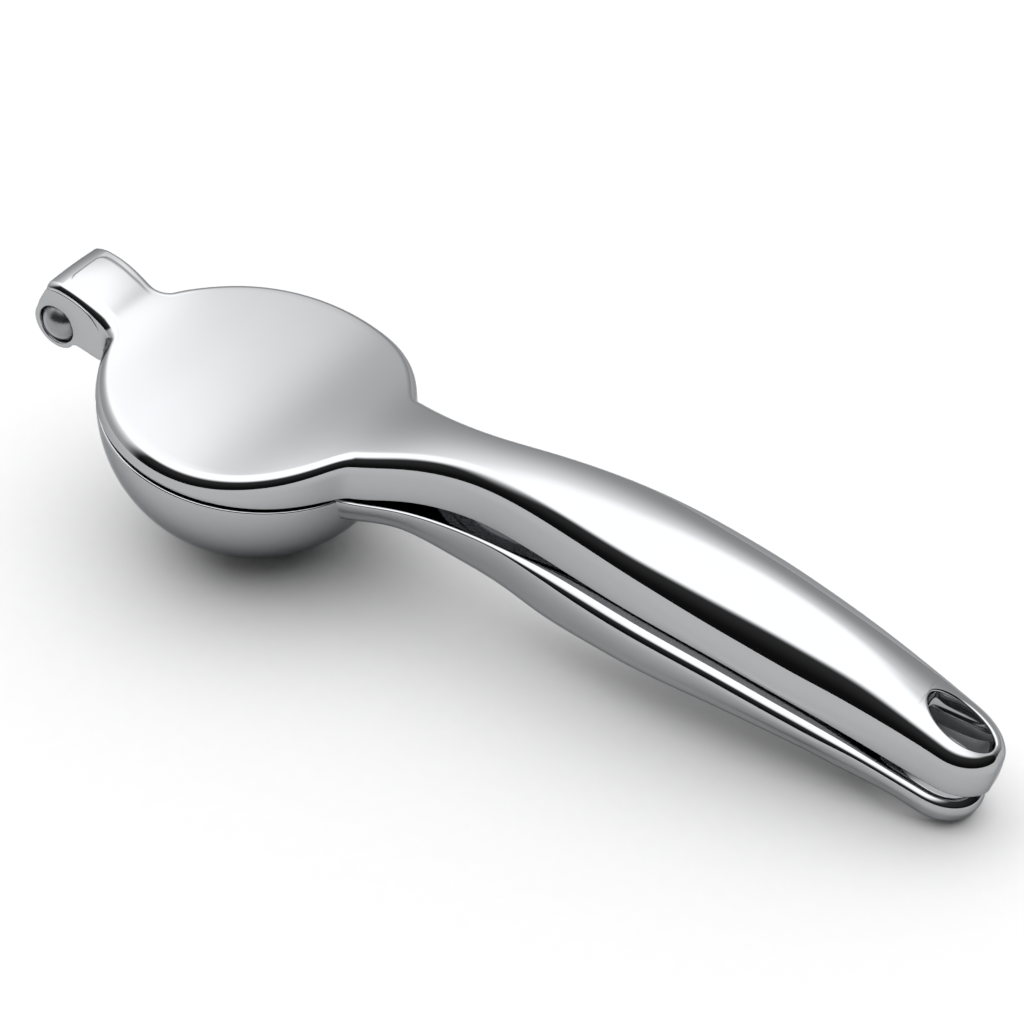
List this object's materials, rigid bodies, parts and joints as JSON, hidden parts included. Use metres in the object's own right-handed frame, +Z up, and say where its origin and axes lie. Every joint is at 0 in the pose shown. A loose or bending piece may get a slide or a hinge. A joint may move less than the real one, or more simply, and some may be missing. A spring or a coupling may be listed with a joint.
{
  "type": "citrus press juicer",
  "caption": "Hand citrus press: two chrome-plated cast arms on one hinge pin, a round lid with a press dome over a half-round bowl with drain slots, curved handles with hanging holes.",
  "frame": {"origin": "centre of the flat foot under the bowl, on the surface that the closed press stands on", "axes": "+Z up from the standing surface; +X from the hinge to the tip of the handles, seen from above; +Y across the handles"},
  "size_m": [0.2351, 0.07, 0.0545],
  "materials": {
    "chrome": "bright polished chrome plate on an aluminium casting",
    "steel": "satin turned stainless steel",
    "acetal": "natural white acetal, moulded"
  },
  "bodies": {
    "bowl_side": {"bowl_arm": "chrome", "hinge_bush": "acetal", "hinge_washer_near": "acetal", "hinge_washer_far": "acetal"},
    "press_side": {"press_arm": "chrome", "press_dome": "chrome", "dome_screw": "steel", "hinge_pin": "steel", "pin_cap": "steel"}
  },
  "joints": [
    {"name": "press_hinge", "type": "hinge", "parent": "bowl_side", "child": "press_side", "pos_m": [-0.04868, 0, 0.0423], "axis": [0, -1, 0], "range_deg": [0, 150]}
  ]
}
